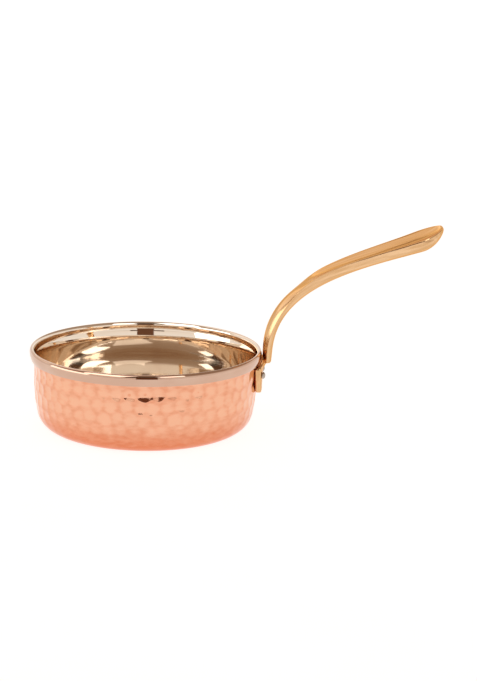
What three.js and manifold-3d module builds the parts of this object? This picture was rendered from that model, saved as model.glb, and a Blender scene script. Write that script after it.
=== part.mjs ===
// A small hammered pan: copper shell, steel liner with a rolled rim, and a riveted brass handle.
// Millimetres, +Z up, origin at the middle of the flat base, handle along +X.

import * as THREE from 'three';
import { mergeVertices } from 'three/addons/utils/BufferGeometryUtils.js';
import Module from 'manifold-3d';

const wasm = await Module();
wasm.setup();

// Bowl
const SHELL_RADIUS = 72.3;
const BOWL_HEIGHT = 52;
const SHELL_THICKNESS = 0.7;
const LINER_THICKNESS = 0.7;
const SKIN_GAP = 0.3;
const CORNER_RADIUS = 12.5;
const BELLY_RADIUS = 93;
const BELLY_ANGLE = THREE.MathUtils.degToRad(12.6);
const FLARE_DROP = 5;
const FLARE_LENGTH = 7;
const FLARE_REACH = 1.2;

// Rolled rim
const RIM_OVERHANG = 2.7;
const ROLL_HEIGHT = 2.6;
const HEM_DEPTH = 7.1;
const HEM_TUCK = 1.0;

// Handle
const RIM_CLEARANCE = 0.4;
const SHOULDER_DROP = 8.2;
const STEM_LENGTH = 8;
const STEM_RISE = 56.8;
const HANDLE_REACH = 112.2;
const HANDLE_RISE = 91.3;
const TIP_LEAD = 39.9;
const TIP_SLOPE = THREE.MathUtils.degToRad(29);
const STEM_WIDTH = 12;
const BEND_WIDTH = 18.7;
const GRIP_WIDTH = 38.2;
const STEM_THICKNESS = 5.7;
const BEND_THICKNESS = 10;
const WAIST_THICKNESS = 6.1;
const GRIP_THICKNESS = 9.2;
const TIP_THICKNESS = 1.8;
const TIP_LENGTH = 16.6;
const SHOULDER_CROWN = 2.4;
const STEM_CROWN = 4;
const CROWN_START = 33;
const CROWN_END = 79;
const DISH_START = 40;
const DISH_FULL = 110;
const DISH_DEPTH = 2.8;
const STEM_FULLNESS = 0.74;
const GRIP_FULLNESS = 0.54;

// Foot
const FOOT_GAP = 0.25;
const FOOT_THICKNESS = 3.1;
const FOOT_WIDTH = 34;
const FOOT_TOE_WIDTH = 28;
const FOOT_HEIGHT = 18.4;
const FOOT_RISE = 0.6;
const FOOT_LEAN = 0.4;
const FOOT_CORNER = 2.5;
const NECK_WIDTH = 11;
const NECK_DEPTH = 3;
const NECK_INSET = 0.3;
const NECK_RISE = 3.4;
const FILLET_HEIGHT = 6.3;

// Rivets
const RIVET_SPACING = 19;
const RIVET_DROP = 7.4;
const SHANK_RADIUS = 1.6;
const HEAD_RADIUS = 2.35;
const HEAD_HEIGHT = 1.7;
const INNER_HEAD_RADIUS = 2.8;
const INNER_HEAD_HEIGHT = 1;
const RIVET_CLEARANCE = 0.3;
const HOLE_LENGTH = 20;

// Facets
const BOWL_SIDES = 64;
const ROUND_SIDES = 20;
const CORNER_STEPS = 6;
const BELLY_STEPS = 2;
const FLARE_STEPS = 4;
const ROLL_STEPS = 4;
const HEM_STEPS = 3;
const GRIP_STEPS = 34;
const TIP_STEPS = 9;
const SECTION_STEPS = 14;
const BEVEL_STEPS = 2;

const LINER_INSET = SHELL_THICKNESS + SKIN_GAP;
const BOWL_INSET = LINER_INSET + LINER_THICKNESS;
const FLARE_TOP = BOWL_HEIGHT - FLARE_DROP;
const FLARE_START = FLARE_TOP - FLARE_LENGTH;
const RIM_RADIUS = SHELL_RADIUS + RIM_OVERHANG;
const RIM_WIDEST = BOWL_HEIGHT - ROLL_HEIGHT;
const HEM_BOTTOM = BOWL_HEIGHT - HEM_DEPTH;
const STEM_FACE = RIM_RADIUS + RIM_CLEARANCE;
const SHOULDER_HEIGHT = BOWL_HEIGHT - SHOULDER_DROP;
const FOOT_BACK = SHELL_RADIUS + FOOT_GAP;
const FOOT_FRONT = FOOT_BACK + FOOT_THICKNESS;
const FOOT_TOP = SHOULDER_HEIGHT + FOOT_RISE;
const FOOT_BOTTOM = FOOT_TOP - FOOT_HEIGHT;
const RIVET_HEIGHT = FOOT_TOP - RIVET_DROP;
const RIVET_ANGLE = Math.asin(RIVET_SPACING / 2 / FOOT_FRONT);
const HOLE_RADIUS = SHANK_RADIUS + RIVET_CLEARANCE;
const RIVET_SIDES = { rivet_near: -1, rivet_far: 1 };

const COPPER = new THREE.MeshStandardMaterial({ color: 0xe8a37f, roughness: 0.32, metalness: 1 });
const STEEL = new THREE.MeshStandardMaterial({ color: 0xd6cec6, roughness: 0.12, metalness: 1 });
const BRASS = new THREE.MeshStandardMaterial({ color: 0xd8a65f, roughness: 0.25, metalness: 1 });
const RIVET_STEEL = new THREE.MeshStandardMaterial({ color: 0xb9b6b0, roughness: 0.3, metalness: 1 });

// Turns a closed geometry into a solid: shared corners are merged and flat slivers dropped.
function toSolid(geometry) {
  const bare = geometry.clone();
  bare.deleteAttribute('normal');
  bare.deleteAttribute('uv');
  const merged = mergeVertices(bare);
  const corners = merged.index.array;
  const triangles = [];
  for (let i = 0; i < corners.length; i += 3) {
    const [a, b, c] = corners.slice(i, i + 3);
    if (a !== b && b !== c && c !== a) triangles.push(a, b, c);
  }
  return new wasm.Manifold(new wasm.Mesh({
    numProp: 3,
    vertProperties: Float32Array.from(merged.attributes.position.array),
    triVerts: Uint32Array.from(triangles),
  }));
}

function toGeometry(solid) {
  const mesh = solid.getMesh();
  const geometry = new THREE.BufferGeometry();
  geometry.setAttribute('position', new THREE.BufferAttribute(mesh.vertProperties, 3));
  geometry.setIndex(new THREE.BufferAttribute(mesh.triVerts, 1));
  geometry.computeVertexNormals();
  return geometry;
}

function piece(name, solid, material) {
  const mesh = new THREE.Mesh(toGeometry(solid), material.clone());
  mesh.name = name;
  return mesh;
}

// Points of an elliptic arc in the profile plane, radius across and height up.
function arc(centreR, centreZ, radiusR, radiusZ, from, to, steps) {
  return new THREE.EllipseCurve(centreR, centreZ, radiusR, radiusZ, from, to, to < from).getPoints(steps);
}

function revolve(profile) {
  return new THREE.LatheGeometry(profile, BOWL_SIDES).rotateX(Math.PI / 2);
}

// The bowl's side from the axis to the top of its flare, set in from the shell's outer face.
function bowlSide(inset) {
  const shoulderRun = BELLY_RADIUS - CORNER_RADIUS;
  const bellyHeight = shoulderRun * Math.sin(BELLY_ANGLE) + CORNER_RADIUS;
  const bellyCentre = SHELL_RADIUS - BELLY_RADIUS;
  const cornerCentre = bellyCentre + shoulderRun * Math.cos(BELLY_ANGLE);
  const corner = CORNER_RADIUS - inset;
  const belly = BELLY_RADIUS - inset;
  const wall = SHELL_RADIUS - inset;
  const flare = new THREE.QuadraticBezierCurve(
    new THREE.Vector2(wall, FLARE_START),
    new THREE.Vector2(wall, (FLARE_START + FLARE_TOP) / 2),
    new THREE.Vector2(wall + FLARE_REACH, FLARE_TOP),
  );
  return [
    new THREE.Vector2(0, inset),
    ...arc(cornerCentre, CORNER_RADIUS, corner, corner, -Math.PI / 2, -BELLY_ANGLE, CORNER_STEPS),
    ...arc(bellyCentre, bellyHeight, belly, belly, -BELLY_ANGLE, 0, BELLY_STEPS).slice(1),
    ...flare.getPoints(FLARE_STEPS),
  ];
}

// The rolled rim's skin, from the bowl's flare over the top and down to the hem's lower edge.
function rimRoll(inset) {
  const inner = SHELL_RADIUS - BOWL_INSET + FLARE_REACH;
  const middle = (inner + RIM_RADIUS) / 2;
  const across = RIM_RADIUS - middle - inset;
  const outer = RIM_RADIUS - inset;
  const hem = new THREE.QuadraticBezierCurve(
    new THREE.Vector2(outer, RIM_WIDEST),
    new THREE.Vector2(outer, (RIM_WIDEST + HEM_BOTTOM) / 2),
    new THREE.Vector2(outer - HEM_TUCK, HEM_BOTTOM),
  );
  return [
    ...arc(middle, RIM_WIDEST, across, ROLL_HEIGHT - inset, Math.PI, 0, 2 * ROLL_STEPS),
    ...hem.getPoints(HEM_STEPS).slice(1),
  ];
}

// Puts a geometry that lies along X at a rivet's height and turns it about the bowl to the rivet's place.
function atRivet(geometry, side) {
  return geometry.translate(0, 0, RIVET_HEIGHT).rotateZ(side * RIVET_ANGLE);
}

// The holes that both rivets pass through, long enough for the foot and both skins.
function rivetHoles() {
  const holes = Object.values(RIVET_SIDES).map((side) => {
    const hole = new THREE.CylinderGeometry(HOLE_RADIUS, HOLE_RADIUS, HOLE_LENGTH, ROUND_SIDES);
    return toSolid(atRivet(hole.rotateZ(Math.PI / 2).translate(SHELL_RADIUS, 0, 0), side));
  });
  return holes[0].add(holes[1]);
}

function copperShell() {
  return toSolid(revolve([...bowlSide(0), ...bowlSide(SHELL_THICKNESS).reverse()]));
}

function steelLiner() {
  return toSolid(revolve([
    ...bowlSide(LINER_INSET),
    ...rimRoll(LINER_THICKNESS),
    ...rimRoll(0).reverse(),
    ...bowlSide(BOWL_INSET).reverse(),
  ]));
}

// Line of the handle's upper face: up past the rim, then over and out to the tip.
function handleLine() {
  const stemTop = SHOULDER_HEIGHT + STEM_LENGTH;
  const tipX = STEM_FACE + HANDLE_REACH;
  const tipZ = SHOULDER_HEIGHT + HANDLE_RISE;
  const line = new THREE.Path();
  line.moveTo(STEM_FACE, SHOULDER_HEIGHT);
  line.lineTo(STEM_FACE, stemTop);
  line.bezierCurveTo(
    STEM_FACE, stemTop + STEM_RISE,
    tipX - TIP_LEAD * Math.cos(TIP_SLOPE), tipZ - TIP_LEAD * Math.sin(TIP_SLOPE),
    tipX, tipZ,
  );
  return line;
}

// A value that runs smoothly between the first and last of its guides.
function smoothLaw(share, guides) {
  let row = guides;
  while (row.length > 1) row = row.slice(1).map((next, i) => THREE.MathUtils.lerp(row[i], next, share));
  return row[0];
}

// One cross-section: crowned on the stem, dished between two edges on the grip, full underneath.
function handleSection(along, length) {
  const gripLength = length - TIP_LENGTH;
  const taper = Math.min(along / gripLength, 1);
  const tip = Math.max(along - gripLength, 0) / TIP_LENGTH;
  const round = Math.sqrt(Math.max(1 - tip * tip, 0));
  const halfWidth = smoothLaw(taper, [STEM_WIDTH, BEND_WIDTH, GRIP_WIDTH]) / 2 * round;
  const full = smoothLaw(taper, [STEM_THICKNESS, BEND_THICKNESS, WAIST_THICKNESS, GRIP_THICKNESS]);
  const thickness = THREE.MathUtils.lerp(full, TIP_THICKNESS, tip * tip);
  const bulge = THREE.MathUtils.smoothstep(along, 0, CROWN_START);
  const flattening = THREE.MathUtils.smoothstep(along, CROWN_START, CROWN_END);
  const crown = THREE.MathUtils.lerp(SHOULDER_CROWN, STEM_CROWN, bulge) * (1 - flattening);
  const dish = DISH_DEPTH * THREE.MathUtils.smoothstep(along, DISH_START, DISH_FULL) * round;
  const fullness = smoothLaw(taper, [STEM_FULLNESS, GRIP_FULLNESS]);
  const points = [];
  for (let i = 0; i < 2 * SECTION_STEPS; i += 1) {
    const turn = Math.PI * i / SECTION_STEPS;
    const rise = Math.sin(turn);
    const top = (crown - dish) * rise * rise;
    const under = -(thickness - crown) * Math.abs(rise) ** fullness;
    const height = i < SECTION_STEPS ? top : under;
    points.push(new THREE.Vector2(halfWidth * Math.cos(turn), height - crown));
  }
  return points;
}

// Stem and grip: sections lofted along the handle's line and closed at both ends.
function handleBar() {
  const line = handleLine();
  const length = line.getLength();
  const gripLength = length - TIP_LENGTH;
  const stations = [];
  for (let i = 0; i <= GRIP_STEPS; i += 1) stations.push(gripLength * i / GRIP_STEPS);
  for (let i = 1; i < TIP_STEPS; i += 1) {
    stations.push(gripLength + TIP_LENGTH * Math.sin(Math.PI / 2 * i / TIP_STEPS));
  }
  const corners = [];
  const place = (along, point) => {
    const at = line.getPointAt(along / length);
    const ahead = line.getTangentAt(along / length);
    corners.push(at.x - ahead.y * point.y, point.x, at.y + ahead.x * point.y);
  };
  for (const along of stations) handleSection(along, length).forEach((point) => place(along, point));
  const first = corners.length / 3;
  place(0, new THREE.Vector2(0, -STEM_THICKNESS / 2));
  place(length, new THREE.Vector2(0, -TIP_THICKNESS / 2));
  const around = 2 * SECTION_STEPS;
  const last = (stations.length - 1) * around;
  const triangles = [];
  for (let i = 0; i < around; i += 1) {
    const next = (i + 1) % around;
    for (let ring = 0; ring < last; ring += around) {
      triangles.push(ring + i, ring + next, ring + around + i);
      triangles.push(ring + next, ring + around + next, ring + around + i);
    }
    triangles.push(first, next, i);
    triangles.push(first + 1, last + i, last + next);
  }
  const geometry = new THREE.BufferGeometry();
  geometry.setAttribute('position', new THREE.Float32BufferAttribute(corners, 3));
  geometry.setIndex(triangles);
  return toSolid(geometry);
}

// A prism along X over an outline of side and height, long enough to pass out through the foot.
function prismAlongX(outline) {
  const prism = new THREE.ExtrudeGeometry(outline, {
    depth: 2 * FOOT_FRONT,
    bevelEnabled: false,
    curveSegments: CORNER_STEPS,
  });
  return toSolid(prism.applyMatrix4(new THREE.Matrix4().makeBasis(
    new THREE.Vector3(0, 1, 0),
    new THREE.Vector3(0, 0, 1),
    new THREE.Vector3(1, 0, 0),
  )));
}

// Sheet that wraps round the wall, thickens upwards, leans out past the hem and fans out below the stem.
function footSheet() {
  const half = FOOT_WIDTH / 2;
  const toe = FOOT_TOE_WIDTH / 2 - FOOT_CORNER;
  const neck = NECK_WIDTH / 2;
  const low = FOOT_BOTTOM + FOOT_CORNER;
  const bend = FOOT_TOP - FOOT_CORNER;
  const neckTop = SHOULDER_HEIGHT + NECK_RISE;
  const outline = new THREE.Shape();
  outline.absarc(toe, low, FOOT_CORNER, -Math.PI / 2, 0);
  outline.lineTo(half, bend);
  outline.quadraticCurveTo(half, FOOT_TOP, neck, neckTop);
  outline.lineTo(-neck, neckTop);
  outline.quadraticCurveTo(-half, FOOT_TOP, -half, bend);
  outline.absarc(-toe, low, FOOT_CORNER, Math.PI, Math.PI * 3 / 2);
  const front = new THREE.QuadraticBezierCurve(
    new THREE.Vector2(FOOT_FRONT + FOOT_LEAN, bend),
    new THREE.Vector2(FOOT_FRONT + FOOT_LEAN, (bend + neckTop) / 2),
    new THREE.Vector2(STEM_FACE + NECK_DEPTH, neckTop),
  );
  const ring = revolve([
    new THREE.Vector2(FOOT_BACK, 0),
    new THREE.Vector2(FOOT_FRONT, 0),
    new THREE.Vector2(FOOT_FRONT, FOOT_BOTTOM),
    ...front.getPoints(FLARE_STEPS),
    new THREE.Vector2(STEM_FACE + NECK_INSET, neckTop),
    new THREE.Vector2(FOOT_BACK, bend),
    new THREE.Vector2(FOOT_BACK, 0),
  ]);
  return prismAlongX(outline).intersect(toSolid(ring));
}

// Fillet that carries the front of the sheet out to the shoulder.
function shoulderFillet() {
  const neck = NECK_WIDTH / 2;
  const root = SHOULDER_HEIGHT - FILLET_HEIGHT;
  const top = SHOULDER_HEIGHT + NECK_INSET;
  const front = STEM_FACE + NECK_DEPTH;
  const sweep = new THREE.QuadraticBezierCurve(
    new THREE.Vector2(FOOT_FRONT - NECK_INSET, root),
    new THREE.Vector2(FOOT_FRONT + FOOT_LEAN, (root + SHOULDER_HEIGHT) / 2),
    new THREE.Vector2(front, SHOULDER_HEIGHT),
  );
  const ring = revolve([
    ...sweep.getPoints(FLARE_STEPS),
    new THREE.Vector2(front, top),
    new THREE.Vector2(STEM_FACE + NECK_INSET, top),
    new THREE.Vector2(FOOT_FRONT - NECK_INSET, root),
  ]);
  const outline = new THREE.Shape();
  outline.moveTo(-neck, root);
  outline.lineTo(neck, root);
  outline.lineTo(neck, top);
  outline.lineTo(-neck, top);
  return prismAlongX(outline).intersect(toSolid(ring));
}

function handle() {
  return handleBar().add(footSheet()).add(shoulderFillet());
}

// Rivet square to the wall: domed head outside the foot, shank through the skins, flat head in the bowl.
function rivet(side) {
  const seat = FOOT_FRONT + FOOT_LEAN + RIVET_CLEARANCE;
  const innerWall = Math.sqrt((SHELL_RADIUS - BOWL_INSET) ** 2 - INNER_HEAD_RADIUS ** 2);
  const innerSeat = innerWall - RIVET_CLEARANCE;
  const profile = [
    new THREE.Vector2(0, innerSeat - INNER_HEAD_HEIGHT),
    ...arc(0, innerSeat, INNER_HEAD_RADIUS, INNER_HEAD_HEIGHT, -Math.PI / 4, 0, BEVEL_STEPS),
    new THREE.Vector2(SHANK_RADIUS, innerSeat),
    new THREE.Vector2(SHANK_RADIUS, seat),
    ...arc(0, seat, HEAD_RADIUS, HEAD_HEIGHT, 0, Math.PI / 2, ROLL_STEPS),
  ];
  return toSolid(atRivet(new THREE.LatheGeometry(profile, ROUND_SIDES).rotateZ(-Math.PI / 2), side));
}

const holes = rivetHoles();
const pan = new THREE.Group();
pan.add(piece('copper_shell', copperShell().subtract(holes), COPPER));
pan.add(piece('steel_liner', steelLiner().subtract(holes), STEEL));
pan.add(piece('handle', handle().subtract(holes), BRASS));
for (const [name, side] of Object.entries(RIVET_SIDES)) {
  pan.add(piece(name, rivet(side), RIVET_STEEL));
}

export default pan;
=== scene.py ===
"""Looks of a small hammered pan: copper shell, steel liner with a rolled rim, riveted brass handle.

Lengths are millimetres in the classes of the pan's pieces and metres in those of the studio. The origin is
the middle of the flat base, the handle points along +X and +Z is up.
"""

import logging
import math
from dataclasses import dataclass
from enum import Enum
from itertools import pairwise
from typing import Sequence, TypeVar

import bmesh
import bpy
import numpy as np
from mathutils import Matrix, Vector


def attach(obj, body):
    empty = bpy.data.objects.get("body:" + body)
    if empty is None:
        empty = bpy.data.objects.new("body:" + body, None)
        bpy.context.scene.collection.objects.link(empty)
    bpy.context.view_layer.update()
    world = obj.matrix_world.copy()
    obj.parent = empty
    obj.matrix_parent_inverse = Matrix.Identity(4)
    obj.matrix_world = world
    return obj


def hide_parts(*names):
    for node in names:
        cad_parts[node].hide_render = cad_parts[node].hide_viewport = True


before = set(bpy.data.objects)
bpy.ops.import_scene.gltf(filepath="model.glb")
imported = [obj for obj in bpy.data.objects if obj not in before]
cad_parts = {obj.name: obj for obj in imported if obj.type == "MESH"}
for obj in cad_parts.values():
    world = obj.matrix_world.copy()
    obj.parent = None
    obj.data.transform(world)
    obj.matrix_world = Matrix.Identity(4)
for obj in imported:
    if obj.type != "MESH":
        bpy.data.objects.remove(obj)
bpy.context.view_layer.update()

LOG = logging.getLogger("pan")
MM = 0.001
MERGE_DISTANCE = 1e-6
TURNED_SHARP_ANGLE = 40
FUSED_SHARP_ANGLE = 40
CAST_SHARP_ANGLE = 50
DENT_ATTRIBUTE = "dent"
GRAIN_ATTRIBUTE = "grain"
ORIGIN = Vector((0, 0, 0))
RIGHT = Vector((1, 0, 0))
UP = Vector((0, 0, 1))
BOWL_MIDDLE = Vector((0, 0, 0.05))
MATT = 0.9

# Values of a cloudy pattern between which tone and roughness change
TONE_SPAN = (0.34, 0.66)
DULL_SPAN = (0.3, 0.7)

Colour = tuple[float, float, float, float]
Profile = list[tuple[float, float]]
Value = TypeVar("Value", float, np.ndarray)


class Body(Enum):
    """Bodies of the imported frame."""

    ROOT = "root"


class Slot(Enum):
    """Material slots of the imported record."""

    COPPER = "copper"
    STEEL = "polished_steel"
    BRASS = "cast_brass"
    RIVET = "rivet_steel"


# Modelling steps


class Bench:
    """Modelling steps that every piece is made with."""

    @staticmethod
    def clear() -> None:
        """Leave edit mode and select nothing."""
        if bpy.context.mode != "OBJECT":
            bpy.ops.object.mode_set(mode="OBJECT")
        bpy.ops.object.select_all(action="DESELECT")

    @staticmethod
    def pick(obj: bpy.types.Object) -> None:
        """Leave edit mode and select one object alone.

        Args:
            obj: The object to work on.
        """
        Bench.clear()
        obj.select_set(True)
        bpy.context.view_layer.objects.active = obj

    @staticmethod
    def label(name: str) -> bpy.types.Object:
        """Name the object that was just added, and its mesh.

        Args:
            name: The name for both.

        Returns:
            The object.
        """
        obj = bpy.context.object
        obj.name = obj.data.name = name
        return obj

    @staticmethod
    def open(obj: bpy.types.Object) -> None:
        """Select one object alone, enter its edit mode and select all of its mesh.

        Args:
            obj: The mesh object to work on.
        """
        Bench.pick(obj)
        bpy.ops.object.mode_set(mode="EDIT")
        bpy.ops.mesh.select_mode(type="VERT")
        bpy.ops.mesh.select_all(action="SELECT")

    @staticmethod
    def close(obj: bpy.types.Object, sharp_angle: float) -> None:
        """Merge doubles, turn faces outwards, leave edit mode and shade smooth.

        Args:
            obj: The mesh object in edit mode.
            sharp_angle: Edges steeper than this many degrees stay sharp.
        """
        bpy.ops.mesh.select_all(action="SELECT")
        bpy.ops.mesh.remove_doubles(threshold=MERGE_DISTANCE)
        bpy.ops.mesh.normals_make_consistent(inside=False)
        Bench.pick(obj)
        bpy.ops.object.shade_smooth_by_angle(angle=math.radians(sharp_angle))

    @staticmethod
    def draw(name: str, points: Sequence[Vector]) -> bpy.types.Object:
        """Draw an open line of edges through points, left in edit mode.

        Args:
            name: Name of the new object.
            points: Corners of the line, in metres.

        Returns:
            The object that holds the line.
        """
        Bench.clear()
        bpy.ops.mesh.primitive_plane_add(size=MM, location=ORIGIN)
        obj = Bench.label(name)
        Bench.open(obj)
        bpy.ops.mesh.merge(type="CENTER")
        bpy.ops.transform.translate(value=points[0])
        for start, end in pairwise(points):
            bpy.ops.mesh.extrude_vertices_move(TRANSFORM_OT_translate={"value": end - start})
        return obj

    @staticmethod
    def turn(name: str, profile: Profile, sides: int,
             axis: Vector = UP, centre: Vector = ORIGIN) -> bpy.types.Object:
        """Spin a profile into a closed turned piece.

        Args:
            name: Name of the new piece.
            profile: Pairs of radius and height in millimetres, from axis to axis.
            sides: Steps round the axis.
            axis: Direction of the axis, upright or level.
            centre: Point on the axis, in metres.

        Returns:
            The turned piece.
        """
        across = RIGHT if axis == UP else UP
        obj = Bench.draw(name, [centre + (across * r + axis * h) * MM for r, h in profile])
        bpy.ops.mesh.select_all(action="SELECT")
        bpy.ops.mesh.spin(steps=sides, angle=math.tau, center=centre, axis=axis)
        Bench.close(obj, TURNED_SHARP_ANGLE)
        return obj

    @staticmethod
    def loft(name: str, rings: Sequence[np.ndarray]) -> bpy.types.Object:
        """Extrude a ring of edges from section to section and close both ends, left in edit mode.

        Args:
            name: Name of the new piece.
            rings: Sections with equal numbers of points, in millimetres.

        Returns:
            The lofted piece.
        """
        Bench.clear()
        bpy.ops.mesh.primitive_circle_add(vertices=len(rings[0]), radius=MM, fill_type="NOTHING")
        obj = Bench.label(name)
        Bench.open(obj)
        place: dict[int, int] = {}
        for ring in rings:
            if place:
                bpy.ops.mesh.extrude_edges_move()
            mesh = bmesh.from_edit_mesh(obj.data)
            mesh.verts.index_update()
            known = len(place)
            for order, vert in enumerate(list(mesh.verts)[known:]):
                beside = [e.other_vert(vert).index for e in vert.link_edges]
                spot = next((place[i] for i in beside if i < known), order)
                vert.co = Vector(ring[spot]) * MM
                place[vert.index] = spot
            bmesh.update_edit_mesh(obj.data)
        bpy.ops.mesh.merge(type="CENTER")
        bpy.ops.mesh.select_all(action="DESELECT")
        bpy.ops.mesh.select_non_manifold()
        bpy.ops.mesh.edge_face_add()
        return obj

    @staticmethod
    def modify(obj: bpy.types.Object, kind: str, **settings: object) -> None:
        """Add a modifier with its settings and apply it.

        Args:
            obj: The mesh object to change.
            kind: Blender's name of the modifier's type.
            settings: Values set on the modifier.
        """
        Bench.pick(obj)
        bpy.ops.object.modifier_add(type=kind)
        modifier = obj.modifiers[-1]
        for key, value in settings.items():
            setattr(modifier, key, value)
        bpy.ops.object.modifier_apply(modifier=modifier.name)

    @staticmethod
    def fuse(obj: bpy.types.Object, other: bpy.types.Object) -> None:
        """Join another closed piece into a piece, so that both are one solid.

        Args:
            obj: The piece that stays.
            other: The piece that becomes part of it.
        """
        Bench.modify(obj, "BOOLEAN", operation="UNION", solver="EXACT", object=other)
        bpy.data.objects.remove(other)
        Bench.open(obj)
        Bench.close(obj, FUSED_SHARP_ANGLE)

    @staticmethod
    def hand_over(obj: bpy.types.Object, node: str, slot: Slot) -> None:
        """Seat a finished piece in the frame and report it.

        Args:
            obj: The finished piece.
            node: Solid of the frame that the piece stands for.
            slot: Material slot of the piece; not used.
        """
        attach(obj, Body.ROOT.value)
        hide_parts(node)
        LOG.info("%s: %d faces, stands for %s", obj.name, len(obj.data.polygons), node)


# Finishes


@dataclass(frozen=True)
class Clouds:
    """A cloudy pattern: clouds per metre and number of finer layers."""

    scale: float
    layers: float


@dataclass(frozen=True)
class Relief:
    """A fine surface grain: share of it that shows and its height in millimetres."""

    strength: float
    depth: float


@dataclass
class ShaderSheet:
    """A material's node sheet with its main shader."""

    material: bpy.types.Material
    shader: bpy.types.Node
    place: bpy.types.NodeSocket

    @classmethod
    def new(cls, name: str, **values: object) -> "ShaderSheet":
        """Make a material with one shader that reads Object coordinates.

        Args:
            name: Name of the material.
            values: Values set on the shader's own sockets, spaces written as underscores.

        Returns:
            The new sheet.
        """
        material = bpy.data.materials.new(name)
        material.use_nodes = True
        shader = material.node_tree.nodes["Principled BSDF"]
        for key, value in values.items():
            shader.inputs[key.replace("_", " ")].default_value = value
        coordinates = material.node_tree.nodes.new("ShaderNodeTexCoord")
        return cls(material, shader, coordinates.outputs["Object"])

    def add(self, kind: str, **values: object) -> bpy.types.Node:
        """Add a node and set its properties.

        Args:
            kind: Blender's name of the node's type.
            values: Properties set on the node.

        Returns:
            The new node.
        """
        node = self.material.node_tree.nodes.new(kind)
        for key, value in values.items():
            setattr(node, key, value)
        return node

    def link(self, source: bpy.types.NodeSocket, target: bpy.types.NodeSocket) -> None:
        """Join two sockets."""
        self.material.node_tree.links.new(source, target)

    def drive(self, source: bpy.types.NodeSocket, socket: str) -> None:
        """Join a socket to one of the shader's inputs."""
        self.link(source, self.shader.inputs[socket])

    def stretched(self, scale: tuple[float, float, float]) -> bpy.types.NodeSocket:
        """Scale the Object coordinates along each axis.

        Args:
            scale: Factors along X, Y and Z.

        Returns:
            The scaled coordinates.
        """
        mapping = self.add("ShaderNodeMapping")
        mapping.inputs["Scale"].default_value = scale
        self.link(self.place, mapping.inputs["Vector"])
        return mapping.outputs["Vector"]

    def axis(self, name: str, place: bpy.types.NodeSocket) -> bpy.types.NodeSocket:
        """Read one axis of coordinates.

        Args:
            name: X, Y or Z.
            place: The coordinates.

        Returns:
            The value along the axis.
        """
        parts = self.add("ShaderNodeSeparateXYZ")
        self.link(place, parts.inputs[0])
        return parts.outputs[name]

    def lathe_place(self) -> bpy.types.NodeSocket:
        """Make coordinates that are the same all round a turned piece.

        Returns:
            Distance from the Z axis as X and height as Z.
        """
        reach = self.add("ShaderNodeVectorMath", operation="LENGTH")
        self.link(self.stretched((1, 1, 0)), reach.inputs[0])
        joined = self.add("ShaderNodeCombineXYZ")
        self.link(reach.outputs["Value"], joined.inputs["X"])
        self.link(self.axis("Z", self.place), joined.inputs["Z"])
        return joined.outputs[0]

    def noise(self, clouds: Clouds, place: bpy.types.NodeSocket | None = None) -> bpy.types.NodeSocket:
        """Add a cloudy pattern.

        Args:
            clouds: Size and layers of the pattern.
            place: Coordinates to read, Object coordinates by default.

        Returns:
            The pattern's value.
        """
        node = self.add("ShaderNodeTexNoise")
        node.inputs["Scale"].default_value = clouds.scale
        node.inputs["Detail"].default_value = clouds.layers
        self.link(place or self.place, node.inputs["Vector"])
        return node.outputs["Fac"]

    def ranged(self, value: bpy.types.NodeSocket, source: tuple[float, float],
               target: tuple[float, float]) -> bpy.types.NodeSocket:
        """Carry a value over from one range to another.

        Args:
            value: The value to carry over.
            source: Ends of the range that it has.
            target: Ends of the range that it gets.

        Returns:
            The new value, held inside its range.
        """
        node = self.add("ShaderNodeMapRange")
        for socket, end in zip(("From Min", "From Max", "To Min", "To Max"), (*source, *target)):
            node.inputs[socket].default_value = end
        self.link(value, node.inputs["Value"])
        return node.outputs["Result"]

    def layered(self, value: bpy.types.NodeSocket, share: float,
                ground: bpy.types.NodeSocket) -> bpy.types.NodeSocket:
        """Add a share of a value to another value.

        Args:
            value: The value that is added.
            share: Factor on that value.
            ground: The value that it is added to.

        Returns:
            The sum.
        """
        node = self.add("ShaderNodeMath", operation="MULTIPLY_ADD")
        node.inputs[1].default_value = share
        self.link(value, node.inputs[0])
        self.link(ground, node.inputs[2])
        return node.outputs[0]

    def tint(self, value: bpy.types.NodeSocket, low: Colour, high: Colour) -> None:
        """Colour the shader between two tones.

        Args:
            value: A value that lies about one half.
            low: Tone where the value is low.
            high: Tone where the value is high.
        """
        ramp = self.add("ShaderNodeValToRGB")
        for element, place, tone in zip(ramp.color_ramp.elements, TONE_SPAN, (low, high)):
            element.position = place
            element.color = tone
        self.link(value, ramp.inputs["Fac"])
        self.drive(ramp.outputs["Color"], "Base Color")

    def roughen(self, value: bpy.types.NodeSocket, low: float, high: float) -> None:
        """Spread the shader's roughness between two values."""
        self.drive(self.ranged(value, DULL_SPAN, (low, high)), "Roughness")

    def bump(self, value: bpy.types.NodeSocket, relief: Relief) -> None:
        """Raise a fine surface grain.

        Args:
            value: Height of the grain from 0 to 1.
            relief: Share of the grain that shows and its full height.
        """
        node = self.add("ShaderNodeBump")
        node.inputs["Strength"].default_value = relief.strength
        node.inputs["Distance"].default_value = relief.depth * MM
        self.link(value, node.inputs["Height"])
        self.drive(node.outputs["Normal"], "Normal")


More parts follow.
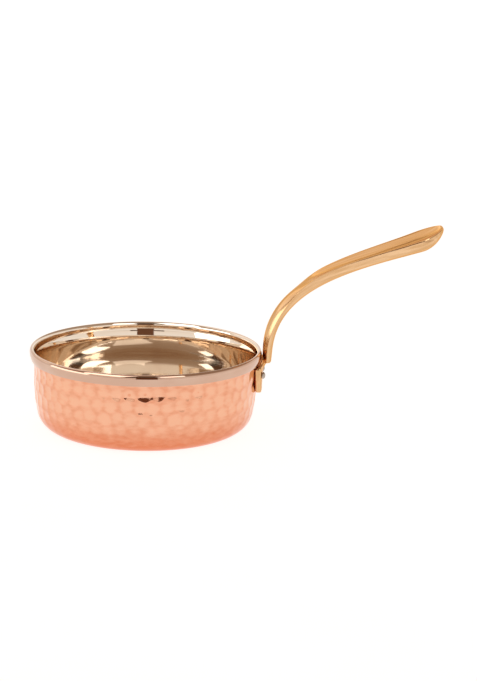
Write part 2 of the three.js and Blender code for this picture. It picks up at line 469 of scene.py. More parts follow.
@dataclass(frozen=True)
class HammeredCopper:
    """Polished copper with a cloudy tone and fine grain, with painted highlight in its dents and painted
    shade deepening it towards the base.
    """

    deep: Colour = (0.70, 0.24, 0.12, 1)
    pale: Colour = (0.85, 0.46, 0.30, 1)
    # Painted shade at the base: its tone, the tone of the wall above it and the height over which it fades
    base_shade_tone: float = 0.12
    wall_tone: float = 0.36
    base_shade_height: float = 18.0
    # Painted highlight in the dents: how much paler they are, and the dent shares over which it rises
    dent_highlight_tone: float = 0.21
    dent_rim: tuple[float, float] = (0.2, 1.0)
    mottle: Clouds = Clouds(190, 4)
    mottle_squash: float = 2.4
    mottle_share: float = 0.34
    haze: Clouds = Clouds(140, 2)
    smooth: float = 0.05
    dull: float = 0.11
    grain: Clouds = Clouds(900, 2)
    relief: Relief = Relief(0.25, 0.03)

    def material(self) -> bpy.types.Material:
        """Make the finish's material.

        Returns:
            The new material.
        """
        sheet = ShaderSheet.new("hammered_copper", Metallic=1.0)
        # Painted shade: the tone is painted deeper towards the base, standing for the darker floor that the
        # base reflects
        height = sheet.axis("Z", sheet.place)
        wall = sheet.ranged(height, (0, self.base_shade_height * MM), (self.base_shade_tone, self.wall_tone))
        # Painted highlight: the dents are painted paler towards their middles, for the light that they catch
        dents = sheet.add("ShaderNodeAttribute", attribute_name=DENT_ATTRIBUTE)
        highlight_share = sheet.ranged(dents.outputs["Fac"], self.dent_rim, (0, 1))
        hammered = sheet.layered(highlight_share, self.dent_highlight_tone, wall)
        mottle = sheet.noise(self.mottle, sheet.stretched((1, 1, self.mottle_squash)))
        sheet.tint(sheet.layered(mottle, self.mottle_share, hammered), self.deep, self.pale)
        sheet.roughen(sheet.noise(self.haze), self.smooth, self.dull)
        sheet.bump(sheet.noise(self.grain), self.relief)
        return sheet.material


@dataclass(frozen=True)
class PolishedSteel:
    """Warm mirror-polished steel with faint turning lines, with painted shade making it darker on the hem.
    """

    deep: Colour = (0.60, 0.40, 0.30, 1)
    pale: Colour = (0.85, 0.75, 0.64, 1)
    # Painted shade on the hem: tone of the bowl, tone of the hem and the radii over which it changes
    bowl_tone: float = 0.56
    hem_shade_tone: float = 0.24
    hem_from: float = 72.5
    hem_to: float = 74.0
    haze: Clouds = Clouds(35, 3)
    haze_share: float = 0.2
    lines: Clouds = Clouds(1400, 2)
    smooth: float = 0.025
    dull: float = 0.06
    relief: Relief = Relief(0.08, 0.01)

    def material(self) -> bpy.types.Material:
        """Make the finish's material.

        Returns:
            The new material.
        """
        sheet = ShaderSheet.new("polished_steel", Metallic=1.0)
        lathe = sheet.lathe_place()
        lines = sheet.noise(self.lines, lathe)
        change = (self.hem_from * MM, self.hem_to * MM)
        # Painted shade: the hem is painted darker than the inside of the bowl
        hem = sheet.ranged(sheet.axis("X", lathe), change, (self.bowl_tone, self.hem_shade_tone))
        tone = sheet.layered(sheet.noise(self.haze), self.haze_share, hem)
        sheet.tint(tone, self.deep, self.pale)
        sheet.roughen(lines, self.smooth, self.dull)
        sheet.bump(lines, self.relief)
        return sheet.material


@dataclass(frozen=True)
class CastBrass:
    """Buffed cast brass with faint buffing lines along the handle and a cloudy shine."""

    deep: Colour = (0.66, 0.40, 0.195, 1)
    pale: Colour = (0.80, 0.53, 0.30, 1)
    edge: Colour = (0.85, 0.60, 0.35, 1)
    buffing: Clouds = Clouds(520, 3)
    haze: Clouds = Clouds(40, 4)
    smooth: float = 0.1
    dull: float = 0.2
    relief: Relief = Relief(0.3, 0.15)

    def material(self) -> bpy.types.Material:
        """Make the finish's material.

        Returns:
            The new material.
        """
        sheet = ShaderSheet.new("cast_brass", Metallic=1.0, Specular_Tint=self.edge)
        grain = sheet.add("ShaderNodeAttribute", attribute_name=GRAIN_ATTRIBUTE)
        buffing = sheet.noise(self.buffing, grain.outputs["Vector"])
        sheet.tint(buffing, self.deep, self.pale)
        sheet.roughen(sheet.noise(self.haze), self.smooth, self.dull)
        sheet.bump(buffing, self.relief)
        return sheet.material


@dataclass(frozen=True)
class RivetSteel:
    """Satin steel with small marks."""

    deep: Colour = (0.34, 0.29, 0.25, 1)
    pale: Colour = (0.52, 0.47, 0.42, 1)
    marks: Clouds = Clouds(700, 3)
    smooth: float = 0.22
    dull: float = 0.4
    relief: Relief = Relief(0.2, 0.03)

    def material(self) -> bpy.types.Material:
        """Make the finish's material.

        Returns:
            The new material.
        """
        sheet = ShaderSheet.new("rivet_steel", Metallic=1.0)
        marks = sheet.noise(self.marks)
        sheet.tint(marks, self.deep, self.pale)
        sheet.roughen(marks, self.smooth, self.dull)
        sheet.bump(marks, self.relief)
        return sheet.material


@dataclass(frozen=True)
class PaleFloor:
    """Matt pale sheet with light behind it."""

    deep: Colour = (0.48, 0.48, 0.48, 1)
    pale: Colour = (0.52, 0.52, 0.52, 1)
    haze: Clouds = Clouds(12, 2)
    gloss: float = 0.1
    glow: float = 0.86

    def material(self) -> bpy.types.Material:
        """Make the finish's material.

        Returns:
            The new material.
        """
        values = {"Roughness": MATT, "Specular_IOR_Level": self.gloss, "Emission_Strength": self.glow}
        sheet = ShaderSheet.new("pale_floor", **values)
        sheet.tint(sheet.noise(self.haze), self.deep, self.pale)
        return sheet.material


# Bowl


def arc(centre: tuple[float, float], radii: tuple[float, float],
        start: float, end: float, steps: int) -> Profile:
    """Points of an elliptic arc in the profile plane.

    Args:
        centre: Radius and height of the arc's centre.
        radii: Half-sizes across and up.
        start: Angle of the first point in degrees.
        end: Angle of the last point in degrees.
        steps: Number of chords.

    Returns:
        The points, both ends included.
    """
    turns = np.radians(np.linspace(start, end, steps + 1))
    return [(centre[0] + radii[0] * math.cos(t), centre[1] + radii[1] * math.sin(t)) for t in turns]


def sweep(points: Sequence[tuple[float, float]], steps: int) -> Profile:
    """Points of a curve whose ends point at one guide point.

    Args:
        points: First point, guide point and last point.
        steps: Number of chords.

    Returns:
        The points, both ends included.
    """
    first, guide, last = (np.array(p) for p in points)
    shares = np.linspace(0, 1, steps + 1)[:, None]
    curve = (1 - shares) ** 2 * first + 2 * shares * (1 - shares) * guide + shares ** 2 * last
    return [tuple(p) for p in curve.tolist()]


def distances(line: np.ndarray) -> np.ndarray:
    """Distance of each of a line's points from its first, measured along the line."""
    steps = np.linalg.norm(np.diff(line, axis=0), axis=1)
    return np.concatenate([[0], np.cumsum(steps)])


def spread_evenly(points: Profile, spacing: float) -> Profile:
    """Points at even spacing along a line.

    Args:
        points: Corners of the line.
        spacing: Distance between points, rounded to fit the line.

    Returns:
        The points, both ends included.
    """
    line = np.array(points)
    along = distances(line)
    stops = np.linspace(0, along[-1], round(along[-1] / spacing) + 1)
    return list(zip(*(np.interp(stops, along, line[:, k]).tolist() for k in (0, 1))))


@dataclass(frozen=True)
class BowlForm:
    """Sizes that shell, liner, handle and rivets share."""

    wall: float = 72.3
    height: float = 52.0
    sheet: float = 0.7
    gap: float = 0.3
    corner: float = 12.5
    belly: float = 93.0
    belly_angle: float = 12.6
    flare_drop: float = 5.0
    flare_length: float = 7.0
    flare_reach: float = 1.2
    overhang: float = 2.7
    roll: float = 2.6
    hem: float = 7.1
    hem_tuck: float = 1.0
    corner_steps: int = 20
    curve_steps: int = 10
    roll_steps: int = 24

    @property
    def rim(self) -> float:
        """Radius of the rim's widest ring."""
        return self.wall + self.overhang

    @property
    def bore(self) -> float:
        """Radius of the liner's inner face at the wall."""
        return self.wall - 2 * self.sheet - self.gap

    @property
    def flare_top(self) -> float:
        """Height of the shell's upper edge."""
        return self.height - self.flare_drop

    def side(self, inset: float) -> Profile:
        """Line of the bowl from the base's edge to the top of its flare.

        Args:
            inset: Distance inwards from the shell's outer face.

        Returns:
            Pairs of radius and height.
        """
        run = self.belly - self.corner
        angle = math.radians(self.belly_angle)
        belly_centre = (self.wall - self.belly, run * math.sin(angle) + self.corner)
        corner_centre = (belly_centre[0] + run * math.cos(angle), self.corner)
        wall = self.wall - inset
        start = self.flare_top - self.flare_length
        corner, belly = self.corner - inset, self.belly - inset
        bend = (wall, start + self.flare_length / 2)
        flare = [(wall, start), bend, (wall + self.flare_reach, self.flare_top)]
        return [
            *arc(corner_centre, (corner, corner), -90, -self.belly_angle, self.corner_steps),
            *arc(belly_centre, (belly, belly), -self.belly_angle, 0, self.curve_steps)[1:],
            *sweep(flare, self.curve_steps),
        ]

    def rim_roll(self, inset: float) -> Profile:
        """Line of the rolled rim from the bowl's flare over the top to the hem's lower edge.

        Args:
            inset: Distance inwards from the roll's outer face.

        Returns:
            Pairs of radius and height.
        """
        middle = (self.bore + self.flare_reach + self.rim) / 2
        widest = self.height - self.roll
        bottom = self.height - self.hem
        outer = self.rim - inset
        hem = [(outer, widest), (outer, (widest + bottom) / 2), (outer - self.hem_tuck, bottom)]
        return [
            *arc((middle, widest), (outer - middle, self.roll - inset), 180, 0, self.roll_steps),
            *sweep(hem, self.curve_steps)[1:],
        ]


@dataclass(frozen=True)
class HammerBlows:
    """Staggered rows of hammer dents on the shell's wall."""

    pitch: float = 8.7
    row_pitch: float = 8.1
    reach: float = 5.4
    depth: float = 0.7
    jitter: float = 1.0
    slips: tuple[float, float] = (0.3, 0.7)
    forces: tuple[float, float] = (0.7, 1.0)
    spreads: tuple[float, float] = (0.9, 1.12)
    band_margin: float = 1.15
    fade_start: float = 9.0
    fade_end: float = 30.0
    seed: int = 5284

    def weights(self, turn: np.ndarray, along: np.ndarray, radius: np.ndarray) -> np.ndarray:
        """Depth of the dents at points of the wall, as a share of the deepest.

        Args:
            turn: Angles round the bowl in radians.
            along: Distances along the wall's line from the base's edge.
            radius: Distances from the bowl's axis.

        Returns:
            Shares from 0 to 1.
        """
        draw = np.random.default_rng(self.seed)
        share = np.zeros(len(turn))
        total = float(along.max())
        for row in range(round(total / self.row_pitch) + 1):
            level = total - row * self.row_pitch
            band = np.abs(along - level) < self.band_margin * self.reach + self.jitter
            if not band.any():
                continue
            girth = math.tau * float(radius[band].mean())
            count = round(girth / self.pitch)
            slip = draw.uniform(*self.slips) * (row % 2)
            centres = (np.arange(count) + slip) * math.tau / count
            centres += draw.uniform(-self.jitter, self.jitter, count) * math.tau / girth
            levels = level + draw.uniform(-self.jitter, self.jitter, count)
            force = draw.uniform(*self.forces, count)
            reach = self.reach * draw.uniform(*self.spreads, count)
            around = (turn[band, None] - centres + math.pi) % math.tau - math.pi
            off = np.hypot(around * radius[band, None], along[band, None] - levels)
            dents = force * (1 - (off / reach) ** 2)
            share[band] = np.maximum(share[band], dents.max(1))
        return share * np.clip((along - self.fade_start) / (self.fade_end - self.fade_start), 0, 1)


@dataclass
class CopperShell:
    """Hammered outer skin of the bowl."""

    form: BowlForm
    blows: HammerBlows
    finish: HammeredCopper
    sides: int = 504
    spacing: float = 0.8
    inner_skip: int = 3
    face_share: float = 0.1

    def build(self) -> bpy.types.Object:
        """Turn the skin and hammer its wall.

        Returns:
            The finished mesh object.
        """
        outer = spread_evenly(self.form.side(0), self.spacing)
        inner = self.form.side(self.form.sheet)[::self.inner_skip]
        profile = [(0.0, 0.0), *outer, *reversed(inner), (0.0, self.form.sheet)]
        obj = Bench.turn("copper_shell_hammered", profile, self.sides)
        self.hammer(obj, outer)
        return obj

    def hammer(self, obj: bpy.types.Object, outer: Profile) -> None:
        """Press the dents into the outer face through a weighted Displace modifier.

        Args:
            obj: The turned skin.
            outer: Line of the outer face that the skin was turned from.
        """
        points = np.array([v.co for v in obj.data.vertices]) / MM
        radius = np.hypot(points[:, 0], points[:, 1])
        line = np.array(outer)
        along = distances(line)
        apart = np.hypot(radius[:, None] - line[:, 0], points[:, 2, None] - line[:, 1])
        nearest = apart.argmin(1)
        on_face = np.nonzero(apart.min(1) < self.form.sheet * self.face_share)[0]
        turn = np.arctan2(points[on_face, 1], points[on_face, 0])
        shares = self.blows.weights(turn, along[nearest[on_face]], radius[on_face])
        group = obj.vertex_groups.new(name="dents")
        for index, share in zip(on_face.tolist(), shares.tolist()):
            group.add([index], share, "REPLACE")
        # The dent shares are also kept as an attribute, which the copper finish turns into painted highlight
        tone = np.zeros(len(points))
        tone[on_face] = shares
        obj.data.attributes.new(DENT_ATTRIBUTE, "FLOAT", "POINT").data.foreach_set("value", tone)
        inwards = -self.blows.depth * MM
        Bench.modify(obj, "DISPLACE", strength=inwards, mid_level=0.0, vertex_group=group.name)
        obj.vertex_groups.clear()

    def dress(self, obj: bpy.types.Object) -> None:
        """Give the skin its copper and seat it."""
        obj.data.materials.append(self.finish.material())
        Bench.hand_over(obj, "copper_shell", Slot.COPPER)


@dataclass
class SteelLiner:
    """Inner bowl whose rim is rolled over the shell's edge."""

    form: BowlForm
    finish: PolishedSteel
    sides: int = 256
    outer_skip: int = 2

    def build(self) -> bpy.types.Object:
        """Turn the liner with its open hem.

        Returns:
            The finished mesh object.
        """
        outset = self.form.sheet + self.form.gap
        inset = outset + self.form.sheet
        profile = [
            (0.0, inset),
            *self.form.side(inset),
            *self.form.rim_roll(0),
            *reversed(self.form.rim_roll(self.form.sheet)),
            *reversed(self.form.side(outset)[::self.outer_skip]),
            (0.0, outset),
        ]
        return Bench.turn("steel_liner_rolled", profile, self.sides)

    def dress(self, obj: bpy.types.Object) -> None:
        """Give the liner its steel and seat it."""
        obj.data.materials.append(self.finish.material())
        Bench.hand_over(obj, "steel_liner", Slot.STEEL)


# Handle


@dataclass
class BrassHandle:
    """One brass casting: foot, neck, shoulder, curved stem and dished grip."""

    form: BowlForm
    finish: CastBrass
    clearance: float = 0.4
    shoulder_drop: float = 8.2
    stem_length: float = 8.0
    stem_rise: float = 56.8
    reach: float = 112.2
    rise: float = 91.3
    tip_lead: float = 39.9
    tip_slope: float = 29.0
    widths: tuple[float, ...] = (12.0, 18.7, 38.2)
    thicknesses: tuple[float, ...] = (5.7, 10.0, 6.1, 9.2)
    fullness: tuple[float, ...] = (0.74, 0.54)
    tip_thickness: float = 1.8
    tip_length: float = 16.6
    shoulder_crown: float = 2.4
    crown: float = 4.0
    crown_start: float = 33.0
    crown_end: float = 79.0
    dish: float = 2.8
    dish_start: float = 40.0
    dish_full: float = 110.0
    land: float = 0.45
    bevel: float = 0.42
    bevel_share: float = 0.035
    bevel_lift: tuple[float, float] = (0.01, 0.2)
    foot_gap: float = 0.25
    foot_thickness: float = 3.1
    foot_half_width: float = 17.0
    toe_half_width: float = 14.0
    foot_height: float = 18.4
    foot_rise: float = 0.6
    foot_lean: float = 0.4
    foot_corner: float = 2.5
    edge: float = 0.35
    neck_half_width: float = 5.5
    neck_depth: float = 3.0
    neck_inset: float = 0.3
    neck_rise: float = 3.4
    fillet_height: float = 6.3
    fillet_blend: float = 2.0
    shoulder_rounding: float = 0.14
    shoulder_round_height: float = 0.8
    grain_stretch: float = 0.04
    toe_rises: tuple[float, ...] = (0.0, 0.12, 0.8, 1.4, 2.0)
    shoulder_stops: tuple[float, ...] = (0.02, 0.12, 0.4, 0.9)
    tip_gap: float = 0.02
    ring_points: int = 40
    grip_rings: int = 62
    tip_rings: int = 12
    side_rings: int = 8
    neck_rings: int = 14
    stem_points: int = 40
    curve_points: int = 600
    neck_points: int = 60

    @property
    def shoulder(self) -> float:
        """Height of the shoulder under the stem."""
        return self.form.height - self.shoulder_drop

    @property
    def stem_face(self) -> float:
        """Distance of the stem's inner face from the bowl's axis."""
        return self.form.rim + self.clearance

    @property
    def foot_front(self) -> float:
        """Distance of the foot's front from the bowl's axis."""
        return self.form.wall + self.foot_gap + self.foot_thickness

    @property
    def foot_top(self) -> float:
        """Height of the foot's upper corners, before they are rounded."""
        return self.shoulder + self.foot_rise

    @property
    def foot_bottom(self) -> float:
        """Height of the foot's lower edge."""
        return self.foot_top - self.foot_height

    @property
    def foot_bend(self) -> float:
        """Height where the foot's sides turn in to the neck."""
        return self.foot_top - self.foot_corner

    @property
    def neck_top(self) -> float:
        """Height of the neck's end inside the stem."""
        return self.shoulder + self.neck_rise

    @property
    def turns(self) -> np.ndarray:
        """Angles of a section's points, inner face first."""
        return math.tau * np.arange(self.ring_points) / self.ring_points

    @staticmethod
    def law(share: float, guides: Sequence[Value]) -> Value:
        """Run smoothly from the first guide to the last, drawn towards those between.

        Args:
            share: Place on the run, from 0 at the first guide to 1 at the last.
            guides: Numbers or points.

        Returns:
            The number or point at the place.
        """
        row = list(guides)
        while len(row) > 1:
            row = [a + (b - a) * share for a, b in pairwise(row)]
        return row[0]

    @staticmethod
    def ease(value: float, start: float, end: float) -> float:
        """Step smoothly from 0 to 1.

        Args:
            value: The value that the step follows.
            start: Value at which the step leaves 0.
            end: Value at which the step reaches 1.

        Returns:
            A share from 0 to 1.
        """
        share = min(max((value - start) / (end - start), 0.0), 1.0)
        return share * share * (3 - 2 * share)

    def centre_line(self) -> tuple[np.ndarray, np.ndarray, np.ndarray]:
        """Line of the upper face in the XZ plane.

        Returns:
            Distances along the line, its points and its directions.
        """
        stem = np.array([self.stem_face, self.shoulder])
        start = stem + (0, self.stem_length)
        tip = stem + (self.reach, self.rise)
        slope = math.radians(self.tip_slope)
        tip_guide = tip - self.tip_lead * np.array([math.cos(slope), math.sin(slope)])
        guides = [start, start + (0, self.stem_rise), tip_guide, tip]
        curve = np.array([self.law(t, guides) for t in np.linspace(0, 1, self.curve_points)])
        straight = np.outer(np.linspace(0, 1, self.stem_points)[:-1], (0, self.stem_length))
        line = np.vstack([stem + straight, curve])
        ahead = np.gradient(line, axis=0)
        ahead /= np.linalg.norm(ahead, axis=1)[:, None]
        return distances(line), line, ahead

    def bar_section(self, distance: float, grip: float) -> np.ndarray:
        """Section of the stem and grip: sideways and upward offsets from the centre line.

        Args:
            distance: Place along the line.
            grip: Place where the rounded tip starts.

        Returns:
            Pairs of offsets, inner or upper face first.
        """
        taper = min(distance / grip, 1.0)
        tip = max(distance - grip, 0.0) / self.tip_length
        rounding = math.sqrt(max(1 - tip * tip, 0.0))
        half = self.law(taper, self.widths) / 2 * rounding
        thick = self.law(tip * tip, (self.law(taper, self.thicknesses), self.tip_thickness))
        crown = self.law(self.ease(distance, 0, self.crown_start), (self.shoulder_crown, self.crown))
        crown *= 1 - self.ease(distance, self.crown_start, self.crown_end)
        dish = self.dish * self.ease(distance, self.dish_start, self.dish_full) * rounding
        lift = np.sin(self.turns)
        hollow = np.clip((lift - self.land) / (1 - self.land), 0, 1) ** 2
        top = crown * lift ** 2 - dish * hollow
        under = -(thick - crown) * np.abs(lift) ** self.law(taper, self.fullness)
        side = half * np.cos(self.turns)
        low, high = self.bevel_lift
        beside_edge = (lift > low) & (lift < high)
        cut = min(self.bevel, half * self.bevel_share)
        side[beside_edge] = np.sign(side[beside_edge]) * (half - cut)
        return np.stack([side, np.where(lift >= 0, top, under) - crown], 1)

    def foot_half(self, height: float) -> float:
        """Half of the foot's width.

        Args:
            height: Height where it is taken.

        Returns:
            The half width there.
        """
        low, bend = self.foot_bottom + self.foot_corner, self.foot_bend
        if height < low:
            bow = math.sqrt(self.foot_corner ** 2 - (low - height) ** 2)
            return self.toe_half_width - self.foot_corner + bow
        full = self.foot_half_width
        if height < bend:
            return self.law((height - low) / (bend - low), (self.toe_half_width, full))
        shares = np.linspace(0, 1, self.neck_points)
        heights = [self.law(t, (bend, self.foot_top, self.neck_top)) for t in shares]
        halves = [self.law(t, (full, full, self.neck_half_width)) for t in shares]
        return float(np.interp(height, heights, halves))

    def foot_faces(self, height: float) -> tuple[float, float, float]:
        """Distances of the foot's faces from the bowl's axis.

        Args:
            height: Height where they are taken.

        Returns:
            Radii of the back, the front and the fillet there.
        """
        bottom, bend = self.foot_bottom, self.foot_bend
        back, neck_front = self.form.wall + self.foot_gap, self.stem_face + self.neck_depth
        lean = self.foot_lean * min((height - bottom) / (bend - bottom), 1.0)
        rise = max((height - bend) / (self.neck_top - bend), 0.0)
        leaning = self.law(rise, (back, self.stem_face + self.neck_inset))
        front = self.law(rise, (self.foot_front + lean, self.foot_front + lean, neck_front))
        climb = min(max((height - self.shoulder) / self.fillet_height + 1, 0.0), 1.0)
        fillet = self.law(climb, (self.foot_front, self.foot_front + self.foot_lean, neck_front))
        return leaning, front, max(fillet, front)

    def foot_section(self, height: float, trim: float) -> np.ndarray:
        """Level section of the foot, wrapped round the bowl, with small rounded corners.

        Args:
            height: Height of the section.
            trim: How much the section is cut back on its sides and front.

        Returns:
            Points of the section, back first.
        """
        half = self.foot_half(height) - trim
        back, front, fillet = self.foot_faces(height)
        steps = np.arange(self.ring_points)
        quarter = self.ring_points // 4
        from_side = quarter - np.abs(steps % (2 * quarter) - quarter)
        side_depths = np.array([0.5, 1 - self.edge / (front - back), 1.0])
        face = len(side_depths) - 1
        on_face = np.clip((from_side - face) / (quarter - face), 0, 1)
        side = np.where(from_side < face, half, (half - self.edge) * (1 - on_face))
        side = np.where(np.abs(steps - 2 * quarter) < quarter, -side, side)
        reach = side_depths[np.minimum(from_side, face)]
        depth = np.where(steps < 2 * quarter, 1 - reach, reach)
        blend = (self.neck_half_width - self.fillet_blend, self.neck_half_width + self.fillet_blend)
        middle = np.array([1 - self.ease(abs(y), *blend) for y in side])
        radius = back + (front - trim - back) * depth + (fillet - front) * middle * (depth > 0.5)
        return np.stack([np.sqrt(radius ** 2 - side ** 2), side, np.full(len(side), height)], 1)

    def foot_rings(self) -> list[np.ndarray]:
        """Sections of the foot from its toe to the top of its neck.

        Returns:
            Points of each section, in order.
        """
        rings = []
        for rise in sorted((*self.toe_rises, self.edge)):
            trim = self.edge * max(1 - rise / self.edge, 0.0) ** 2
            rings.append(self.foot_section(self.foot_bottom + rise, trim))
        sides = np.linspace(self.foot_bottom + self.foot_corner, self.foot_bend, self.side_rings)[:-1]
        neck = np.linspace(self.foot_bend, self.neck_top, self.neck_rings)
        for height in (*sides.tolist(), *neck.tolist()):
            rings.append(self.foot_section(height, 0))
        return rings

    def bar_rings(self) -> list[np.ndarray]:
        """Sections of the stem and grip from the shoulder to the tip.

        Returns:
            Points of each section, in order.
        """
        along, line, ahead = self.centre_line()
        grip = along[-1] - self.tip_length
        stops = [*self.shoulder_stops, *np.linspace(0, grip, self.grip_rings)[1:].tolist()]
        ends = np.sin(np.pi / 2 * np.arange(1, self.tip_rings) / self.tip_rings)
        stops += [*(grip + self.tip_length * ends).tolist(), float(along[-1]) - self.tip_gap]
        rings = []
        for stop in stops:
            at = [np.interp(stop, along, line[:, k]) for k in (0, 1)]
            tangent = np.array([np.interp(stop, along, ahead[:, k]) for k in (0, 1)])
            tangent /= np.linalg.norm(tangent)
            section = self.bar_section(stop, grip)
            middle = section.mean(0)
            rounding = 1 - self.shoulder_rounding * max(1 - stop / self.shoulder_round_height, 0) ** 2
            side, up = (middle + (section - middle) * rounding).T
            rings.append(np.stack([at[0] - tangent[1] * up, side, at[1] + tangent[0] * up], 1))
        return rings

    def build(self) -> bpy.types.Object:
        """Loft the stem with its grip and the foot, round both and fuse them into one casting.

        Returns:
            The finished mesh object.
        """
        lofts = []
        for name, rings in (("brass_handle_cast", self.bar_rings()), ("brass_foot", self.foot_rings())):
            obj = Bench.loft(name, rings)
            Bench.close(obj, CAST_SHARP_ANGLE)
            Bench.modify(obj, "SUBSURF", levels=1, render_levels=1)
            lofts.append(obj)
        Bench.fuse(*lofts)
        self.mark_grain(lofts[0])
        return lofts[0]

    def mark_grain(self, obj: bpy.types.Object) -> None:
        """Keep each point's place along and across the handle as an attribute for the finish.

        Args:
            obj: The fused casting.
        """
        along, line, ahead = self.centre_line()
        points = np.array([v.co for v in obj.data.vertices]) / MM
        flat = points[:, [0, 2]]
        nearest = np.array([np.square(line - p).sum(1).argmin() for p in flat])
        across = np.stack([-ahead[nearest, 1], ahead[nearest, 0]], 1)
        height = ((flat - line[nearest]) * across).sum(1)
        grain = np.stack([along[nearest] * self.grain_stretch, points[:, 1], height], 1) * MM
        attribute = obj.data.attributes.new(GRAIN_ATTRIBUTE, "FLOAT_VECTOR", "POINT")
        attribute.data.foreach_set("vector", grain.ravel())

    def dress(self, obj: bpy.types.Object) -> None:
        """Give the casting its brass and seat it."""
        obj.data.materials.append(self.finish.material())
        Bench.hand_over(obj, "handle", Slot.BRASS)


@dataclass
class Rivets:
    """The two rivets through the handle's foot, the shell and the liner."""

    form: BowlForm
    handle: BrassHandle
    finish: RivetSteel
    spacing: float = 19.0
    drop: float = 7.4
    shank: float = 1.6
    head: float = 2.35
    head_height: float = 1.7
    inner_head: float = 2.8
    inner_height: float = 1.0
    inner_arc: float = 60.0
    clearance: float = 0.3
    sides: int = 40
    inner_steps: int = 6
    head_steps: int = 10

    def build(self) -> dict[str, bpy.types.Object]:
        """Turn one rivet for each side of the handle.

        Returns:
            Finished mesh objects by the solid that each stands for.
        """
        seat = self.handle.foot_front + self.handle.foot_lean + self.clearance
        inner_seat = math.sqrt(self.form.bore ** 2 - self.inner_head ** 2) - self.clearance
        profile = [
            (0.0, inner_seat - self.inner_height),
            *arc((0, inner_seat), (self.inner_head, self.inner_height),
                 -self.inner_arc, 0, self.inner_steps),
            (self.shank, inner_seat),
            (self.shank, seat),
            *arc((0, seat), (self.head, self.head_height), 0, 90, self.head_steps),
        ]
        height = self.handle.foot_top - self.drop
        angle = math.asin(self.spacing / 2 / self.handle.foot_front)
        made = {}
        for node, side in (("rivet_near", -1), ("rivet_far", 1)):
            outward = Vector((math.cos(angle), side * math.sin(angle), 0))
            made[node] = Bench.turn(f"{node}_turned", profile, self.sides, outward, UP * height * MM)
        return made

    def dress(self, made: dict[str, bpy.types.Object]) -> None:
        """Give the rivets their steel and seat them.

        Args:
            made: The rivets by the solid that each stands for.
        """
        steel = self.finish.material()
        for node, obj in made.items():
            obj.data.materials.append(steel)
            Bench.hand_over(obj, node, Slot.RIVET)


# Studio


@dataclass(frozen=True)
class SoftLight:
    """One soft area light that looks at the bowl and acts through reflections alone.

    Bearing is measured in degrees from the camera's side of the bowl, towards the handle.
    """

    name: str
    bearing: float
    elevation: float
    distance: float
    size: tuple[float, float]
    brightness: float

    @property
    def place(self) -> Vector:
        """Place of the light's middle.

        Returns:
            The place in metres.
        """
        turn, rise = math.radians(self.bearing), math.radians(self.elevation)
        level = self.distance * math.cos(rise)
        return Vector((level * math.sin(turn), -level * math.cos(turn), self.distance * math.sin(rise)))

    def hang(self) -> None:
        """Hang the light and turn it to the bowl."""
        lamp = bpy.data.lights.new(self.name, "AREA")
        lamp.shape = "RECTANGLE"
        lamp.size, lamp.size_y = self.size
        lamp.energy = self.brightness * self.size[0] * self.size[1] * math.pi
        obj = bpy.data.objects.new(self.name, lamp)
        obj.location = self.place
        obj.rotation_euler = (BOWL_MIDDLE - obj.location).to_track_quat("-Z", "Y").to_euler()
        obj.visible_diffuse = False
        bpy.context.scene.collection.objects.link(obj)


@dataclass(frozen=True)
class ToneCard:
    """A toned card that faces the bowl and that the camera sees only in reflections.

    Bearing is measured as for the lights. A lying card has its height along the floor.
    """

    name: str
    bearing: float
    distance: float
    size: tuple[float, float]
    bottom: float
    tone: Colour
    glow: float = 0.0
    lying: bool = False

    def stand(self) -> None:
        """Put the card in its place."""
        Bench.clear()
        turn = math.radians(self.bearing)
        rise = self.bottom if self.lying else self.bottom + self.size[1] / 2
        middle = (self.distance * math.sin(turn), -self.distance * math.cos(turn), rise)
        tilt = 0 if self.lying else math.pi / 2
        bpy.ops.mesh.primitive_plane_add(size=1, location=middle, rotation=(tilt, 0, turn))
        card = Bench.label(self.name)
        card.scale = (self.size[0], self.size[1], 1)
        bpy.ops.object.transform_apply(location=True, rotation=True, scale=True)
        sheet = ShaderSheet.new(self.name, Base_Color=self.tone, Roughness=MATT, Emission_Strength=self.glow)
        card.data.materials.append(sheet.material)
        card.visible_camera = card.visible_shadow = False


@dataclass(frozen=True)
class PhotoCamera:
    """Camera at the photograph's viewing angle, for an image of 477 by 681 pixels."""

    image: tuple[float, float] = (477.0, 681.0)
    distance: float = 1.0
    elevation: float = 13.648
    swing: float = 3.0
    roll: float = 0.601
    focal_pixels: float = 1542.0
    aim_height: float = 0.051937
    aim_pixel: tuple[float, float] = (146.254, 347.597)
    sensor: float = 36.0

    @staticmethod
    def turned(first: Vector, second: Vector, angle: float) -> tuple[Vector, Vector]:
        """Turn two directions in their plane, the first towards the second.

        Args:
            first: One direction.
            second: The direction square to it.
            angle: Angle of the turn in radians.

        Returns:
            Both directions after the turn.
        """
        level, lift = math.cos(angle), math.sin(angle)
        return level * first + lift * second, level * second - lift * first

    def set_up(self) -> None:
        """Make the camera and choose it for the scene."""
        tilt = math.radians(self.elevation)
        ahead = Vector((0, math.cos(tilt), -math.sin(tilt)))
        right = RIGHT
        up = right.cross(ahead)
        place = Vector((0, 0, self.aim_height)) - ahead * self.distance
        pan = math.atan((self.aim_pixel[0] - self.image[0] / 2) / self.focal_pixels)
        right, ahead = self.turned(right, ahead, pan)
        nod = math.atan((self.image[1] / 2 - self.aim_pixel[1]) / self.focal_pixels * math.cos(pan))
        up, ahead = self.turned(up, ahead, nod)
        right, up = self.turned(right, up, math.radians(self.roll))
        facing = Matrix((right, up, -ahead)).transposed().to_4x4()
        lens = bpy.data.cameras.new("photo_camera")
        lens.sensor_width = self.sensor
        lens.lens = self.focal_pixels * self.sensor / max(self.image)
        camera = bpy.data.objects.new("photo_camera", lens)
        swing = Matrix.Rotation(math.radians(self.swing), 4, "Z")
        camera.matrix_world = swing @ Matrix.Translation(place) @ facing
        bpy.context.scene.collection.objects.link(camera)
        bpy.context.scene.camera = camera


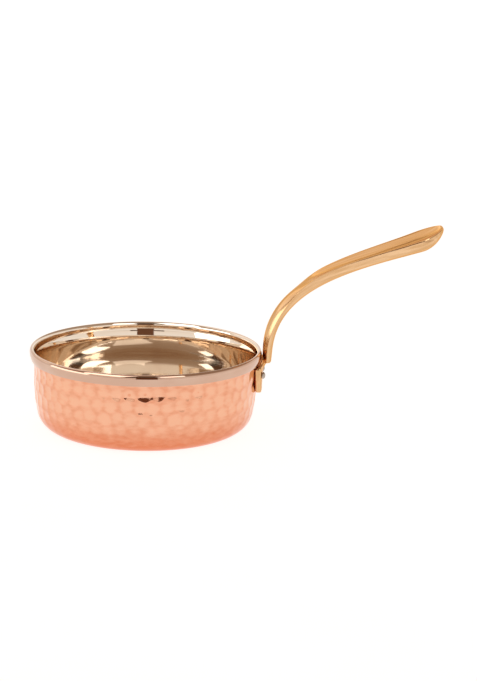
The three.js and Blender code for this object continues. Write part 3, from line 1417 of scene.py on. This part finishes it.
@dataclass
class Studio:
    """Pale floor, surround, soft lights, toned cards and camera."""

    floor_finish: PaleFloor
    lights: Sequence[SoftLight]
    cards: Sequence[ToneCard]
    camera: PhotoCamera
    floor_size: float = 60.0
    surround: tuple[tuple[float, Colour], ...] = (
        (0.0, (1.0, 0.96, 0.92, 1)),
        (0.31, (0.95, 0.86, 0.78, 1)),
        (0.42, (0.45, 0.34, 0.26, 1)),
        (1.0, (0.37, 0.26, 0.185, 1)),
    )
    mirror_bounces: int = 24

    def build(self) -> None:
        """Lay the floor, light the surround, hang the lights, stand the cards and set up the camera."""
        Bench.clear()
        bpy.ops.mesh.primitive_plane_add(size=self.floor_size, location=ORIGIN)
        floor = Bench.label("pale_floor")
        floor.data.materials.append(self.floor_finish.material())
        self.surround_light()
        for light in self.lights:
            light.hang()
        for card in self.cards:
            card.stand()
        self.camera.set_up()
        scene = bpy.context.scene
        scene.view_settings.view_transform = "Standard"
        scene.cycles.max_bounces = scene.cycles.glossy_bounces = self.mirror_bounces
        LOG.info("studio: floor, surround, %d lights, %d cards, camera", len(self.lights), len(self.cards))

    def surround_light(self) -> None:
        """Make a surround that is white at the horizon and dim and warm overhead."""
        world = bpy.data.worlds.new("white_surround")
        world.use_nodes = True
        nodes, links = world.node_tree.nodes, world.node_tree.links
        parts = nodes.new("ShaderNodeSeparateXYZ")
        links.new(nodes.new("ShaderNodeTexCoord").outputs["Generated"], parts.inputs[0])
        ramp = nodes.new("ShaderNodeValToRGB")
        links.new(parts.outputs["Z"], ramp.inputs["Fac"])
        elements = ramp.color_ramp.elements
        while len(elements) < len(self.surround):
            elements.new(0.5)
        for element, (height, tone) in zip(elements, self.surround):
            element.position = height
            element.color = tone
        links.new(ramp.outputs["Color"], nodes["Background"].inputs["Color"])
        bpy.context.scene.world = world


def main() -> None:
    """Build the studio and every piece in order."""
    logging.basicConfig(level=logging.INFO, format="%(name)s: %(message)s")
    # Each light: name, bearing, elevation, distance, size, brightness
    lights = [
        SoftLight("left_softbox", -76, 14, 1.3, (1.1, 0.5), 1.5),
        SoftLight("front_left_softbox", -41, 45, 1.3, (0.85, 0.9), 2.3),
        SoftLight("left_panel", -142, 44, 1.5, (1.8, 1.2), 0.62),
        SoftLight("right_softbox", 30, 38, 1.3, (0.5, 0.55), 2.0),
    ]
    # Each card: name, bearing, distance, size, height of its lower edge, tone, glow, whether it lies
    cards = [
        ToneCard("dark_flag", 2, 2.0, (1.4, 1.2), 0.9, (0.09, 0.08, 0.07, 1)),
        ToneCard("upper_flag", 2, 2.0, (1.4, 2.2), 2.1, (0.38, 0.34, 0.3, 1)),
        ToneCard("camera_stand", 4, 0.5, (0.17, 0.27), 0.0, (0.15, 0.06, 0.025, 1)),
        ToneCard("stand_arm", 2, 1.9, (1.3, 0.72), 0.72, (0.12, 0.06, 0.03, 1)),
        ToneCard("far_floor", 3, 1.9, (6, 2.8), 0.002, (0.5, 0.45, 0.42, 1), 0.5, True),
    ]
    Studio(PaleFloor(), lights, cards, PhotoCamera()).build()
    form = BowlForm()
    handle = BrassHandle(form, CastBrass())
    parts = [
        CopperShell(form, HammerBlows(), HammeredCopper()),
        SteelLiner(form, PolishedSteel()),
        handle,
        Rivets(form, handle, RivetSteel()),
    ]
    for part in parts:
        part.dress(part.build())


if __name__ == "__main__":
    main()
